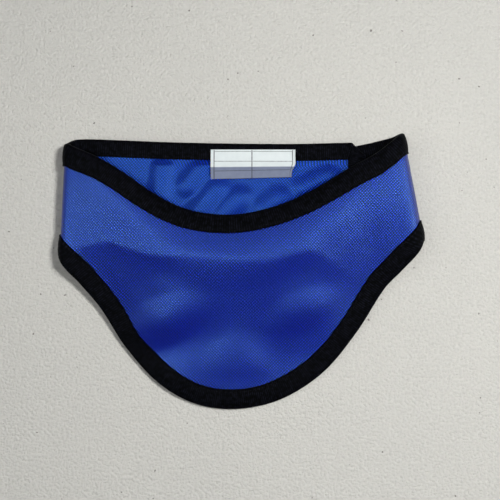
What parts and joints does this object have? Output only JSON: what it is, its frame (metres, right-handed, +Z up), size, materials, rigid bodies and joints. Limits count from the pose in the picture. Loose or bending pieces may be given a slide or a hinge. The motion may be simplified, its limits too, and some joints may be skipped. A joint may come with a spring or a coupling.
{
  "type": "thyroid shield collar",
  "caption": "Padded neck collar with a bib and two back straps, edged with ribbed tape, fastened and laid flat.",
  "frame": {"origin": "on the table, under the middle of the collar as it lies", "axes": "+X to the right seen from above with the bib's tip nearest, +Y from the tip of the bib to the neck edge, +Z up"},
  "size_m": [0.2162, 0.1626, 0.0279],
  "materials": {
    "blue_nylon": "woven, soft sheen",
    "blue_lining": "woven, soft sheen",
    "black_tape": "ribbed, matt",
    "closure": "brushed, matt",
    "white_label": "smooth satin, ruled"
  },
  "bodies": {
    "root": {"outer_cover": "blue_nylon", "inner_lining": "blue_lining", "neck_binding": "black_tape", "hem_binding": "black_tape", "lower_strap_end_binding": "black_tape", "upper_strap_end_binding": "black_tape", "hook_patch": "closure", "loop_patch": "closure", "size_label": "white_label"}
  },
  "joints": []
}
